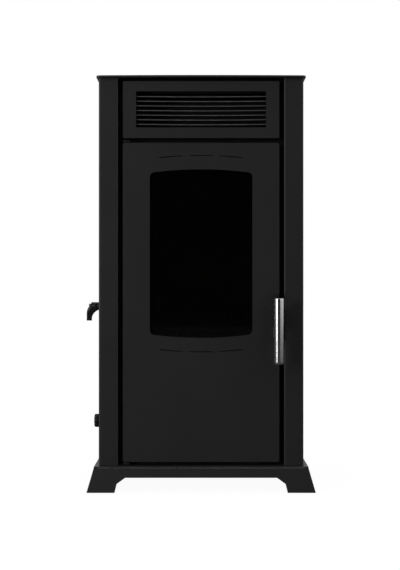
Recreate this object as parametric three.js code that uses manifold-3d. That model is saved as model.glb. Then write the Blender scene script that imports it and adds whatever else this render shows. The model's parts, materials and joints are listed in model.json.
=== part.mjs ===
// Wood burning stove. Millimetres, +Z up, the front faces -Y, the floor is z = 0.
// The casing stands on a skirted plinth. Inside it a lined firebox sits over an ash chamber.
// One tall door closes both, and a slatted panel above it lets the warm air out.
import * as THREE from "three";
import { mergeVertices } from "three/addons/utils/BufferGeometryUtils.js";
import Module from "manifold-3d";

// ---- Driving dimensions ----

// Casing
const BODY_WIDTH = 494;
const BODY_DEPTH = 440;
const HEIGHT = 1000;
const SHEET = 3; // folded steel sheet of the casing and the door
const CLEAR = 0.3; // gap between pieces that touch
const OVERSHOOT = 5; // how far a cutting tool runs past the faces it cuts
const TOP_THICK = 5;
const TOP_SIDE_OVERHANG = 6;
const TOP_FRONT_OVERHANG = 12;
const TOP_FRONT_BOW = 4; // how far the middle of the front edge stands ahead of its ends
const TOP_CORNER = 12;
const STRIP_WIDTH = 47; // front face of each side panel
const STRIP_RETURN = 31; // depth of the fold behind the front face
const STRIP_FOLD = 4;
const REAR_RETURN = 30;
const VENT_ROWS = 6; // air slots low in the rear panel, in two columns
const VENT_PITCH = 14;
const VENT_RISE = 40;
const VENT_LENGTH = 90;
const VENT_HEIGHT = 6;

// Plinth
const PLINTH_HEIGHT = 60;
const PLINTH_SIDE_LEDGE = 10.5;
const PLINTH_FRONT_LEDGE = 20;
const PLINTH_SPREAD = 16; // how far each wall leans out at the floor
const FOOT_LENGTH = 67;
const FOOT_LEAN = 5; // how far the inner edge of a foot leans in below the corner of the arch
const ARCH_HEIGHT = 34.4;
const ARCH_CORNER_RISE = 14; // height of the slanting corner of the arch
const ARCH_CORNER_RUN = 20;

// Door and the panel over it
const DOOR_SIDE_GAP = 11.5;
const DOOR_BOTTOM_GAP = 8.8;
const DOOR_REAR_GAP = 6; // from the folded edges of the door to the front frame
const DOOR_CORNER = 4.5;
const PANEL_HEIGHT = 137.3;
const PANEL_TOP_GAP = 8;
const PANEL_DOOR_GAP = 11.6;
const PANEL_CORNER = 3;

// Window in the door
const WINDOW_SIDE_MARGIN = 64.8;
const WINDOW_TOP_MARGIN = 63.8;
const WINDOW_BOTTOM_MARGIN = 299;
const WINDOW_ARC = 918; // radius of the bowed top and bottom edges
const WINDOW_CORNER = 11;
const GLASS_THICK = 4;
const GLASS_CORNER = 3;
const GLASS_LAP = 11; // how far the glass reaches past the window
const TAPE = 2.9; // thickness of the tape between the skin and the glass
const TAPE_WIDTH = 8;
const CLIP_HEIGHT = 12; // strips that hold the glass at its top and bottom
const CLIP_THICK = 2;

// Inner frame of the door and its rope seal
const INNER_SIDE_INSET = 24;
const INNER_END_INSET = 30;
const INNER_REAR_INSET = 4;
const INNER_WALL = 2;
const SIGHT_SIDE_GAP = 4;
const SIGHT_END_GAP = 8;
const SEAL_INSET = 1;
const SEAL_WIDTH = 9;

// Dash slots that follow the bowed edges of the window
const DASH_LENGTH = 55.4;
const DASH_HEIGHT = 2.1;
const DASH_PITCH = 72.5;
const DASH_OFFSET = 33.6;

// Outlet slats
const OUTLET_SIDE_MARGIN = 31.8;
const OUTLET_TOP_MARGIN = 24.6;
const OUTLET_HEIGHT = 87.2;
const SLAT_COUNT = 7;
const SLAT_PITCH = 11.2;
const SLAT_DEPTH = 11;
const SLAT_THICK = 1.6;
const SLAT_BOW = 4;
const SLAT_TILT = 25; // degrees, front edge down
const SLAT_LAP = 3; // how far the slats reach past the opening
const SLAT_SETBACK = 5.5; // from the face of the panel to the middle of a slat's front edge
const CHEEK = 2;
const CHEEK_REAR_GAP = 10;

// Firebox
const SIDE_CAVITY = 61.5; // from the outside of the casing to the firebox
const REAR_CAVITY = 60;
const TOP_CAVITY = 45;
const PLATE = 4; // firebox steel
const LINING = 28;
const HEARTH_BOARD = 20;
const HEARTH_ABOVE_SILL = 2.2; // hearth over the lowest point of the window
const BAFFLE_THICK = 25;
const BAFFLE_FLUE_GAP = 8.7; // from the top of the baffle up to the bore of the flue
const SMOKE_GAP = 92; // open passage in front of the baffle
const UPPER_SETBACK = 50; // the top of the firebox stands back, so that air reaches the outlet
const HOOD_STEP = 12; // from the outlet down to the foot of the smoke hood
const FLUE_RADIUS = 60;
const FLUE_WALL = 3;
const FLUE_FLANGE = 10;
const FLUE_HOLE_GAP = 6; // round the flue, in the rear panel
const FLUE_TOP_GAP = 3; // from the flange up to the top of the firebox
const FLUE_PROJECTION = 50;
const SHIELD_GAP = 28; // from the firebox to the sheet that shields the rear panel
const SHIELD_OVERLAP = 15;
const SHIELD_THICK = 2;
const SHIELD_RISE = 140; // from the foot of the casing
const SHIELD_FLUE_GAP = 10;
const GRATE_WIDTH = 176;
const GRATE_LENGTH = 150;
const GRATE_THICK = 14;
const GRATE_PITCH = 29;
const GRATE_SLOT = 10;
const GRATE_ROWS = 6;
const GRATE_RIM = 14;
const GRATE_BRIDGE = 5; // half width of the bar across the middle
const GRATE_LEDGE = 8; // how far the hearth reaches under the grate
const GUARD_HEIGHT = 22;
const GUARD_THICK = 8;
const GUARD_SETBACK = 8; // from the mouth of the firebox
const GUARD_END_GAP = 2;
const GUARD_PITCH = 29.4;
const GUARD_TOOTH = 6.5;
const GUARD_GAPS = 10;
const GUARD_GAP_HEIGHT = 11;

// Ash chamber and pan
const ASH_HEIGHT = 100;
const ASH_SIDE_INSET = 45;
const ASH_REAR_INSET = 30;
const ASH_MOUTH_DROP = 8; // from the top of the ash chamber down to its mouth
const PAN_GAP = 9;
const PAN_WALL = 2;
const PAN_HEIGHT = 62;
const PAN_REAR_GAP = 8;
const PAN_RECESS = 32.5; // from the front frame to the face of the pan
const RUNNER = 5;
const RUNNER_WIDTH = 12;
const RUNNER_SETBACK = 2;
const PULL_WIDTH = 80;
const PULL_REACH = 18;

// Hinges
const HINGE_INSET = 7; // from the door edge to the hinge axis
const HINGE_DEPTH = 9; // from the door face to the hinge axis
const HINGE_PIN = 3;
const HINGE_PLATE = 4.5;
const HINGE_GRIP = 16; // length of each bush
const HINGE_END_GAP = 2.5; // from the end of the door to the plate
const HINGE_PLATE_SETBACK = 3;
const PIN_HOLE_GAP = 0.7;
const BUSH_WIDTH = 13;
const BUSH_DEPTH = 12.4;

// Handle and latch
const HANDLE_RADIUS = 11.5;
const HANDLE_BOTTOM = 306.7;
const HANDLE_LENGTH = 157;
const HANDLE_STAND = 42; // from the door face to the middle of the bar
const HANDLE_EDGE = 3.5; // from the door edge in to the middle of the bar
const PIVOT_EDGE = 7.5; // from the door edge in to the pivot pin
const PIVOT_STAND = 13;
const PIVOT_RADIUS = 4;
const BARREL_RADIUS = 7.6;
const LUG_THICK = 8;
const HOOK_RISE = 63.6; // from the lower end of the bar
const HOOK_HEIGHT = 25;
const HOOK_NOSE = 8; // how far the nose points away from the pin
const HOOK_WALL = 5;
const HOOK_SHANK = 4;
const NOTCH_INSET = 5; // from the pivot pin to the side of the notch in the door
const KEEPER_WIDTH = 7;
const KEEPER_GAP = 0.5;
const KEEPER_THICK = 3;
const LUG_RADIUS = 6;
const NECK_WIDTH = 8;
const ARM_HEIGHT = 44;

// Air controls on the left side, measured from the front and from the floor
const CONTROL_SETBACK = 120;
const LEVER_HEIGHT = 442.5;
const LEVER_HUB = 10;
const LEVER_HUB_REACH = 28;
const LEVER_REACH = 39;
const LEVER_DROP = 36; // from the middle of the hub down to the tip
const LEVER_THICK = 12;
const LEVER_WIDTH = 16;
const DUCT_WIDTH = 60;
const DUCT_HEIGHT = 90;
const DUCT_WALL = 2;
const SHAFT_RADIUS = 4;
const SOCKET_DEPTH = 13;
const DUCT_GAP = 3; // from the casing to the duct
const FLAP_GAP = 1.5;
const FLAP_THICK = 2;
const KNOB_HEIGHT = 156;
const KNOB_RADIUS = 16.5;
const KNOB_REACH = 20;
const KNOB_LOBES = 8;
const DISC_RADIUS = 34;
const DISC_THICK = 3;
const PORT_RADIUS = 8;
const PORT_RING = 20;
const PORT_COUNT = 4;
const REGISTER_STAND = 14; // from the casing to the fixed plate
const REGISTER_RIM = 6;
const INTAKE = 40; // width of the mouth under the register
const SPINDLE_END = 8;
const NECK_RADIUS = 9;
const NECK_LENGTH = 7;

// ---- Places worked out from the driving dimensions ----

const halfWidth = BODY_WIDTH / 2;
const halfDepth = BODY_DEPTH / 2;
const frontY = -halfDepth;
const bodyBottom = PLINTH_HEIGHT + CLEAR;
const bodyTop = HEIGHT - TOP_THICK - CLEAR;
const doorHalf = halfWidth - STRIP_WIDTH - DOOR_SIDE_GAP;
const outletHalf = doorHalf - OUTLET_SIDE_MARGIN;
const panelTop = HEIGHT - TOP_THICK - PANEL_TOP_GAP;
const panelBottom = panelTop - PANEL_HEIGHT;
const outletTop = panelTop - OUTLET_TOP_MARGIN;
const outletBottom = outletTop - OUTLET_HEIGHT;
const doorTop = panelBottom - PANEL_DOOR_GAP;
const doorBottom = PLINTH_HEIGHT + DOOR_BOTTOM_GAP;
const windowHalf = doorHalf - WINDOW_SIDE_MARGIN;
const windowTop = doorTop - WINDOW_TOP_MARGIN;
const windowBottom = doorBottom + WINDOW_BOTTOM_MARGIN;
const frameY = frontY + STRIP_RETURN + SHEET; // front face of the front frame
const doorDepth = frameY - frontY - DOOR_REAR_GAP;
const shellFront = frameY + SHEET + CLEAR;
const shellBack = halfDepth - REAR_CAVITY;
const shellHalf = halfWidth - SIDE_CAVITY;
const shellTop = HEIGHT - TOP_THICK - TOP_CAVITY;
const hearthZ = windowBottom + HEARTH_ABOVE_SILL;
const shellFloor = hearthZ - HEARTH_BOARD - CLEAR;
const shellBottom = shellFloor - PLATE;
const liningFace = shellHalf - PLATE - CLEAR - LINING; // half width between the side boards
const mouthHalf = liningFace - CLEAR;
const mouthTop = windowTop + WINDOW_CORNER;
const flueZ = shellTop - FLUE_TOP_GAP - FLUE_FLANGE - FLUE_RADIUS;
const baffleTop = flueZ - FLUE_RADIUS + FLUE_WALL - BAFFLE_FLUE_GAP;
const liningTop = baffleTop - BAFFLE_THICK - CLEAR;
const grateY = -10; // middle of the grate along the depth
const controlY = frontY + CONTROL_SETBACK;

// ---- Finishes ----

const finish = (color, roughness, metalness) => () =>
  new THREE.MeshStandardMaterial({ color, roughness, metalness });
const satinBlack = finish(0x232425, 0.5, 0.3);
const innerBlack = finish(0x101010, 0.8, 0.2);
const castIron = finish(0x2a2928, 0.75, 0.5);
const polishedSteel = finish(0xc9cacc, 0.18, 1);
const plainSteel = finish(0x77797b, 0.4, 0.9);
const fireBoard = finish(0x8f8270, 0.95, 0);
const darkGlass = finish(0x0c0c0d, 0.05, 0);
const ropeSeal = finish(0x3a3937, 0.95, 0);
const blackPlastic = finish(0x161617, 0.45, 0);

// ---- Shape helpers ----

const wasm = await Module();
wasm.setup();

function solidFrom(geometry) {
  const bare = geometry.clone();
  bare.deleteAttribute("normal");
  bare.deleteAttribute("uv");
  const merged = mergeVertices(bare, 1e-4);
  return new wasm.Manifold(
    new wasm.Mesh({
      numProp: 3,
      vertProperties: merged.attributes.position.array,
      triVerts: new Uint32Array(merged.index.array),
    }),
  );
}

function geometryFrom(solid) {
  const mesh = solid.getMesh();
  const geometry = new THREE.BufferGeometry();
  geometry.setAttribute("position", new THREE.BufferAttribute(mesh.vertProperties, 3));
  geometry.setIndex(new THREE.BufferAttribute(mesh.triVerts, 1));
  return geometry;
}

// The first geometry with every one of the others cut away.
function cut(body, ...tools) {
  let solid = solidFrom(body);
  for (const tool of tools) solid = solid.subtract(solidFrom(tool));
  return geometryFrom(solid);
}

function join(...pieces) {
  let solid = solidFrom(pieces[0]);
  for (const piece of pieces.slice(1)) solid = solid.add(solidFrom(piece));
  return geometryFrom(solid);
}

function box(x0, x1, y0, y1, z0, z1) {
  const geometry = new THREE.BoxGeometry(x1 - x0, y1 - y0, z1 - z0);
  return geometry.translate((x0 + x1) / 2, (y0 + y1) / 2, (z0 + z1) / 2);
}

// A block whose floor outline differs from its top outline.
function taperedBlock(bottomX, bottomY, topX, topY, z0, z1) {
  const geometry = new THREE.BoxGeometry(2, 2, 2);
  const corners = geometry.attributes.position;
  for (let i = 0; i < corners.count; i++) {
    const top = corners.getZ(i) > 0;
    const x = corners.getX(i) * (top ? topX : bottomX);
    const y = corners.getY(i) * (top ? topY : bottomY);
    corners.setXYZ(i, x, y, top ? z1 : z0);
  }
  return geometry;
}

const extrude = (shape, depth, steps = 6) =>
  new THREE.ExtrudeGeometry(shape, { depth, bevelEnabled: false, curveSegments: steps });

// An outline drawn from above, between two heights.
const fromAbove = (shape, z0, z1, steps) => extrude(shape, z1 - z0, steps).translate(0, 0, z0);

// An outline drawn from the front (x, z), between two depths.
const fromFront = (shape, y0, y1, steps) =>
  extrude(shape, y1 - y0, steps)
    .rotateX(Math.PI / 2)
    .translate(0, y1, 0);

// An outline drawn from the side (y, z), between two places along X.
function fromSide(shape, x0, x1, steps) {
  const turn = new THREE.Matrix4().makeBasis(
    new THREE.Vector3(0, 1, 0),
    new THREE.Vector3(0, 0, 1),
    new THREE.Vector3(1, 0, 0),
  );
  return extrude(shape, x1 - x0, steps)
    .applyMatrix4(turn)
    .translate(x0, 0, 0);
}

const rodZ = (radius, z0, z1, sides = 20) =>
  new THREE.CylinderGeometry(radius, radius, z1 - z0, sides)
    .rotateX(Math.PI / 2)
    .translate(0, 0, (z0 + z1) / 2);
const rodY = (radius, y0, y1, sides = 24) =>
  new THREE.CylinderGeometry(radius, radius, y1 - y0, sides).translate(0, (y0 + y1) / 2, 0);
const rodX = (radius, x0, x1, sides = 20) =>
  new THREE.CylinderGeometry(radius, radius, x1 - x0, sides)
    .rotateZ(-Math.PI / 2)
    .translate((x0 + x1) / 2, 0, 0);

const lathe = (profile, sides) =>
  new THREE.LatheGeometry(
    profile.map(([r, h]) => new THREE.Vector2(r, h)),
    sides,
  );

function outline(points) {
  return new THREE.Shape(points.map(([u, v]) => new THREE.Vector2(u, v)));
}

function roundedRect(u0, u1, v0, v1, r) {
  const shape = new THREE.Shape();
  shape.moveTo(u0 + r, v0);
  shape.lineTo(u1 - r, v0);
  shape.absarc(u1 - r, v0 + r, r, -Math.PI / 2, 0);
  shape.lineTo(u1, v1 - r);
  shape.absarc(u1 - r, v1 - r, r, 0, Math.PI / 2);
  shape.lineTo(u0 + r, v1);
  shape.absarc(u0 + r, v1 - r, r, Math.PI / 2, Math.PI);
  shape.lineTo(u0, v0 + r);
  shape.absarc(u0 + r, v0 + r, r, Math.PI, 1.5 * Math.PI);
  return shape;
}

// How far a bowed edge of radius WINDOW_ARC has fallen back at u from its middle.
const bowDrop = (u) => WINDOW_ARC - Math.sqrt(WINDOW_ARC ** 2 - u ** 2);

// The window outline: straight sides, and a top and a bottom that bow outwards.
function windowShape(half, bottom, top, corner, steps = 8) {
  const shape = new THREE.Shape();
  const inner = half - corner;
  shape.moveTo(-inner, bottom + bowDrop(inner));
  for (let i = 1; i <= steps; i++) {
    const u = -inner + (2 * inner * i) / steps;
    shape.lineTo(u, bottom + bowDrop(u));
  }
  shape.quadraticCurveTo(half, bottom + bowDrop(half), half, bottom + bowDrop(half) + corner);
  shape.lineTo(half, top - bowDrop(half) - corner);
  shape.quadraticCurveTo(half, top - bowDrop(half), inner, top - bowDrop(inner));
  for (let i = 1; i <= steps; i++) {
    const u = inner - (2 * inner * i) / steps;
    shape.lineTo(u, top - bowDrop(u));
  }
  shape.quadraticCurveTo(-half, top - bowDrop(half), -half, top - bowDrop(half) - corner);
  shape.lineTo(-half, bottom + bowDrop(half) + corner);
  shape.quadraticCurveTo(-half, bottom + bowDrop(half), -inner, bottom + bowDrop(inner));
  return shape;
}

// A dash slot centred at u, along the edge whose middle is at height v. sense is 1 for a top edge.
function dashShape(centre, v, sense) {
  const steps = 4;
  const lower = [];
  const upper = [];
  for (let i = 0; i <= steps; i++) {
    const u = centre - DASH_LENGTH / 2 + (DASH_LENGTH * i) / steps;
    const height = v - sense * bowDrop(u);
    lower.push([u, height - DASH_HEIGHT / 2]);
    upper.unshift([u, height + DASH_HEIGHT / 2]);
  }
  return outline([...lower, ...upper]);
}

// A tray open at the back: a front sheet with its edges folded back.
function tray(x0, x1, z0, z1, depth, corner) {
  const outer = fromFront(roundedRect(x0, x1, z0, z1, corner), 0, depth, 4);
  const inner = roundedRect(x0 + SHEET, x1 - SHEET, z0 + SHEET, z1 - SHEET, corner / 2);
  return cut(outer, fromFront(inner, SHEET, depth + 1, 4));
}

function add(parent, name, geometry, makeMaterial) {
  const mesh = new THREE.Mesh(geometry, makeMaterial());
  mesh.name = name;
  parent.add(mesh);
  return mesh;
}

function groupAt(parent, x, y, z) {
  const group = new THREE.Group();
  group.position.set(x, y, z);
  parent.add(group);
  return group;
}

const stove = new THREE.Group();

// ---- Plinth ----

// Opening between two feet: the sides lean in a little, and slanting corners lead to a level top.
function archShape(floorHalf) {
  const bottom = floorHalf - FOOT_LENGTH;
  const shoulder = bottom - FOOT_LEAN;
  const top = shoulder - ARCH_CORNER_RUN;
  const shoulderZ = ARCH_HEIGHT - ARCH_CORNER_RISE;
  const right = [
    [bottom + FOOT_LEAN, -shoulderZ],
    [shoulder, shoulderZ],
    [top, ARCH_HEIGHT],
  ];
  const left = right.map(([u, v]) => [-u, v]).reverse();
  return outline([...right, ...left]);
}

function plinth(parent) {
  const topX = halfWidth + PLINTH_SIDE_LEDGE;
  const topY = halfDepth + PLINTH_FRONT_LEDGE;
  const floorX = topX + PLINTH_SPREAD;
  const floorY = topY + PLINTH_SPREAD;
  const skirtTop = PLINTH_HEIGHT - SHEET - CLEAR;
  const past = 20; // the hollow runs this far past the floor and the top
  const lean = (PLINTH_SPREAD / skirtTop) * past;
  const outer = taperedBlock(floorX, floorY, topX, topY, 0, skirtTop);
  const hollow = taperedBlock(
    floorX + lean - SHEET,
    floorY + lean - SHEET,
    topX - lean - SHEET,
    topY - lean - SHEET,
    -past,
    skirtTop + past,
  );
  const archFront = fromFront(archShape(floorX), -floorY - OVERSHOOT, floorY + OVERSHOOT);
  const archSide = fromSide(archShape(floorY), -floorX - OVERSHOOT, floorX + OVERSHOOT);
  add(parent, "plinth_skirt", cut(outer, hollow, archFront, archSide), satinBlack);
  const plate = box(-topX, topX, -topY, topY, PLINTH_HEIGHT - SHEET, PLINTH_HEIGHT);
  add(parent, "base_plate", plate, satinBlack);
}

// ---- Casing ----

// Plan outline of the right side panel: return, front strip, side wall and rear return.
function sidePanelShape(side) {
  const x = (value) => side * value;
  const strip = halfWidth - STRIP_WIDTH;
  const back = frameY - CLEAR;
  const folded = halfWidth - SHEET;
  const r = STRIP_FOLD;
  const shape = new THREE.Shape();
  shape.moveTo(x(strip), back);
  shape.lineTo(x(strip), frontY + r);
  shape.quadraticCurveTo(x(strip), frontY, x(strip + r), frontY);
  shape.lineTo(x(halfWidth - r), frontY);
  shape.quadraticCurveTo(x(halfWidth), frontY, x(halfWidth), frontY + r);
  shape.lineTo(x(halfWidth), halfDepth - r);
  shape.quadraticCurveTo(x(halfWidth), halfDepth, x(halfWidth - r), halfDepth);
  shape.lineTo(x(halfWidth - REAR_RETURN), halfDepth);
  shape.lineTo(x(halfWidth - REAR_RETURN), halfDepth - SHEET);
  shape.lineTo(x(folded), halfDepth - SHEET);
  shape.lineTo(x(folded), frontY + SHEET);
  shape.lineTo(x(strip + SHEET), frontY + SHEET);
  shape.lineTo(x(strip + SHEET), back);
  return shape;
}

function topPlateShape() {
  const half = halfWidth + TOP_SIDE_OVERHANG;
  const back = halfDepth + TOP_SIDE_OVERHANG;
  const nose = frontY - TOP_FRONT_OVERHANG;
  const ends = nose + TOP_FRONT_BOW;
  const shape = new THREE.Shape();
  shape.moveTo(half, back);
  shape.lineTo(-half, back);
  shape.lineTo(-half, ends + TOP_CORNER);
  shape.quadraticCurveTo(-half, ends, TOP_CORNER - half, ends);
  const steps = 12;
  const span = half - TOP_CORNER;
  for (let i = 1; i <= steps; i++) {
    const u = -1 + (2 * i) / steps;
    shape.lineTo(u * span, ends - TOP_FRONT_BOW * (1 - u * u));
  }
  shape.quadraticCurveTo(half, ends, half, ends + TOP_CORNER);
  return shape;
}

function casing(parent) {
  const controlHole = (height) =>
    rodX(SHAFT_RADIUS + 1, -halfWidth - OVERSHOOT, -halfWidth + SHEET + OVERSHOOT, 16).translate(
      0,
      controlY,
      height,
    );
  const left = fromAbove(sidePanelShape(-1), bodyBottom, bodyTop, 3);
  const right = fromAbove(sidePanelShape(1), bodyBottom, bodyTop, 3);
  const leftDrilled = cut(left, controlHole(LEVER_HEIGHT), controlHole(KNOB_HEIGHT));
  add(parent, "left_side_panel", leftDrilled, satinBlack);
  add(parent, "right_side_panel", right, satinBlack);

  const inside = halfWidth - SHEET - CLEAR;
  const rearY = halfDepth - SHEET - CLEAR;
  const rear = box(-inside, inside, rearY - SHEET, rearY, bodyBottom, bodyTop);
  const toolFront = rearY - SHEET - OVERSHOOT;
  const toolBack = rearY + OVERSHOOT;
  const flueHole = rodY(FLUE_RADIUS + FLUE_HOLE_GAP, toolFront, toolBack, 32).translate(0, 0, flueZ);
  const vents = [];
  for (let i = 0; i < VENT_ROWS; i++) {
    const z = bodyBottom + VENT_RISE + i * VENT_PITCH;
    for (const side of [-1, 1]) {
      const x0 = (side * inside) / 2 - VENT_LENGTH / 2;
      vents.push(box(x0, x0 + VENT_LENGTH, toolFront, toolBack, z, z + VENT_HEIGHT));
    }
  }
  add(parent, "rear_panel", cut(rear, flueHole, ...vents), satinBlack);

  const topPlate = fromAbove(topPlateShape(), HEIGHT - TOP_THICK, HEIGHT, 4);
  add(parent, "top_plate", topPlate, satinBlack);
}

// The sheet behind the door, with the mouths of the firebox, the ash chamber and the outlet.
function frontFrame(parent) {
  const inside = halfWidth - SHEET - CLEAR;
  const sheet = box(-inside, inside, frameY, frameY + SHEET, bodyBottom, bodyTop);
  const through = (half, z0, z1) => box(-half, half, frameY - OVERSHOOT, frameY + SHEET + OVERSHOOT, z0, z1);
  const fireMouth = through(mouthHalf, hearthZ + CLEAR, mouthTop);
  const ashHalf = shellHalf - ASH_SIDE_INSET - SHEET;
  const ashTop = shellBottom - 2 * CLEAR - ASH_MOUTH_DROP;
  const ashMouth = through(ashHalf, shellBottom - ASH_HEIGHT + SHEET, ashTop);
  const outlet = through(outletHalf, outletBottom, outletTop);
  add(parent, "front_frame", cut(sheet, fireMouth, ashMouth, outlet), innerBlack);
}

// ---- Slatted outlet over the door ----

function slatShape(half) {
  const steps = 10;
  const front = [];
  const back = [];
  for (let i = 0; i <= steps; i++) {
    const u = -1 + (2 * i) / steps;
    const bow = -SLAT_BOW * (1 - u * u);
    front.push([u * half, bow]);
    back.unshift([u * half, bow + SLAT_DEPTH]);
  }
  return outline([...front, ...back]);
}

function outletPanel(parent) {
  const group = groupAt(parent, 0, frontY, 0);
  const depth = STRIP_RETURN + SHEET - CLEAR;
  const face = tray(-doorHalf, doorHalf, panelBottom, panelTop, depth, PANEL_CORNER);
  const opening = box(-outletHalf, outletHalf, -OVERSHOOT, SHEET + OVERSHOOT, outletBottom, outletTop);
  add(group, "top_front_panel", cut(face, opening), satinBlack);

  const slatHalf = outletHalf + SLAT_LAP;
  const cheekStart = slatHalf + CLEAR;
  for (const [side, word] of [
    [-1, "left"],
    [1, "right"],
  ]) {
    const inner = side * cheekStart;
    const outer = side * (cheekStart + CHEEK);
    const low = Math.min(inner, outer);
    const foot = outletBottom - SLAT_LAP;
    const cheekBack = depth - CHEEK_REAR_GAP;
    const cheek = box(low, low + CHEEK, SHEET + CLEAR, cheekBack, foot, outletTop + SLAT_LAP);
    add(group, "outlet_cheek_" + word, cheek, innerBlack);
  }
  const middle = (outletTop + outletBottom) / 2;
  for (let i = 0; i < SLAT_COUNT; i++) {
    const slat = fromAbove(slatShape(slatHalf), 0, SLAT_THICK);
    const mesh = add(group, "outlet_slat_" + (i + 1), slat, satinBlack);
    const order = i - (SLAT_COUNT - 1) / 2;
    mesh.position.set(0, SLAT_SETBACK, middle + order * SLAT_PITCH - SLAT_DEPTH / 4);
    mesh.rotation.x = (SLAT_TILT * Math.PI) / 180;
  }
}

// ---- Firebox, lining and flue ----

function firebox(parent) {
  const stepZ = outletBottom - HOOD_STEP;
  const stepY = shellFront + UPPER_SETBACK;
  const outer = box(-shellHalf, shellHalf, shellFront, shellBack, shellBottom, stepZ);
  const side = shellHalf - PLATE;
  const rear = shellBack - PLATE;
  const inner = box(-side, side, shellFront - OVERSHOOT, rear, shellFloor, stepZ - PLATE);
  const throat = box(-side, side, stepY + PLATE, rear, shellFloor, stepZ + OVERSHOOT);
  const flueHole = rodY(FLUE_RADIUS - FLUE_WALL, shellBack - PLATE - OVERSHOOT, shellBack + OVERSHOOT, 32);
  flueHole.translate(0, 0, flueZ);
  const grateHole = (grow, z0, z1) => {
    const w = GRATE_WIDTH / 2 + grow;
    const l = GRATE_LENGTH / 2 + grow;
    return box(-w, w, grateY - l, grateY + l, z0, z1);
  };
  const ashDrop = grateHole(-GRATE_LEDGE, shellBottom - OVERSHOOT, shellFloor + OVERSHOOT);
  add(parent, "firebox_shell", cut(outer, inner, throat, flueHole, ashDrop), innerBlack);
  const hoodFoot = stepZ + CLEAR;
  const hood = box(-shellHalf, shellHalf, stepY, shellBack, hoodFoot, shellTop);
  const hoodInside = box(-side, side, stepY + PLATE, rear, hoodFoot - OVERSHOOT, shellTop - PLATE);
  add(parent, "smoke_hood", cut(hood, hoodInside, flueHole), innerBlack);

  const wall = shellHalf - PLATE - CLEAR;
  const back = shellBack - PLATE - CLEAR;
  const rearFace = back - LINING;
  const left = box(-wall, -liningFace, shellFront, rearFace - CLEAR, hearthZ + CLEAR, liningTop);
  const right = box(liningFace, wall, shellFront, rearFace - CLEAR, hearthZ + CLEAR, liningTop);
  add(parent, "lining_board_left", left, fireBoard);
  add(parent, "lining_board_right", right, fireBoard);
  const behind = box(-wall, wall, rearFace, back, hearthZ + CLEAR, liningTop);
  add(parent, "lining_board_rear", behind, fireBoard);
  const hearth = box(-wall, wall, shellFront, back, shellFloor + CLEAR, hearthZ);
  const seat = grateHole(CLEAR, hearthZ - GRATE_THICK, hearthZ + OVERSHOOT);
  const drop = grateHole(-GRATE_LEDGE, shellFloor - OVERSHOOT, hearthZ);
  add(parent, "hearth_board", cut(hearth, seat, drop), fireBoard);
  const baffle = box(
    -wall,
    wall,
    shellFront + SMOKE_GAP,
    back,
    liningTop + CLEAR,
    liningTop + CLEAR + BAFFLE_THICK,
  );
  add(parent, "baffle_board", baffle, fireBoard);

  const grateLift = GRATE_THICK - CLEAR;
  const slab = box(
    -GRATE_WIDTH / 2,
    GRATE_WIDTH / 2,
    -GRATE_LENGTH / 2,
    GRATE_LENGTH / 2,
    -grateLift,
    0,
  );
  const slots = [];
  const slotLength = GRATE_LENGTH / 2 - GRATE_RIM - GRATE_BRIDGE;
  for (let i = 0; i < GRATE_ROWS; i++) {
    const x = (i - (GRATE_ROWS - 1) / 2) * GRATE_PITCH;
    for (const y0 of [GRATE_RIM - GRATE_LENGTH / 2, GRATE_BRIDGE]) {
      const [x0, x1] = [x - GRATE_SLOT / 2, x + GRATE_SLOT / 2];
      slots.push(box(x0, x1, y0, y0 + slotLength, -grateLift - OVERSHOOT, OVERSHOOT));
    }
  }
  const grate = add(parent, "fire_grate", cut(slab, ...slots), castIron);
  grate.position.set(0, grateY, hearthZ);

  // The guard stands on teeth, and the gaps between them let air under the fire
  const guardHalf = liningFace - GUARD_END_GAP;
  const guardFoot = hearthZ + CLEAR;
  const rail = box(-guardHalf, guardHalf, 0, GUARD_THICK, guardFoot, guardFoot + GUARD_HEIGHT);
  const gaps = [];
  const gapHalf = (GUARD_PITCH - GUARD_TOOTH) / 2;
  const gapBack = GUARD_THICK + OVERSHOOT;
  const gapTop = guardFoot + GUARD_GAP_HEIGHT;
  for (let i = 0; i < GUARD_GAPS; i++) {
    const x = (i - (GUARD_GAPS - 1) / 2) * GUARD_PITCH;
    gaps.push(box(x - gapHalf, x + gapHalf, -OVERSHOOT, gapBack, guardFoot - OVERSHOOT, gapTop));
  }
  const guard = add(parent, "log_guard", cut(rail, ...gaps), castIron);
  guard.position.y = shellFront + GUARD_SETBACK;
}

function flue(parent) {
  const start = shellBack + CLEAR;
  const end = halfDepth + FLUE_PROJECTION;
  const inner = FLUE_RADIUS - FLUE_WALL;
  const profile = [
    [inner, start],
    [FLUE_RADIUS + FLUE_FLANGE, start],
    [FLUE_RADIUS + FLUE_FLANGE, start + PLATE],
    [FLUE_RADIUS, start + PLATE],
    [FLUE_RADIUS, end],
    [inner, end],
    [inner, start],
  ];
  const collar = add(parent, "flue_collar", lathe(profile, 40), satinBlack);
  collar.position.z = flueZ;

  const back = halfDepth - 2 * SHEET - 2 * CLEAR;
  const face = shellBack + SHIELD_GAP;
  const half = shellHalf + SHIELD_OVERLAP;
  const innerHalf = half - SHIELD_THICK;
  const innerFace = face + SHIELD_THICK;
  const shieldTop = flueZ - FLUE_RADIUS - FLUE_FLANGE - SHIELD_FLUE_GAP;
  const shield = outline([
    [-half, back],
    [-half, face],
    [half, face],
    [half, back],
    [innerHalf, back],
    [innerHalf, innerFace],
    [-innerHalf, innerFace],
    [-innerHalf, back],
  ]);
  add(parent, "rear_heat_shield", fromAbove(shield, bodyBottom + SHIELD_RISE, shieldTop), plainSteel);
}

// ---- Ash chamber, runners and pan ----

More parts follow.
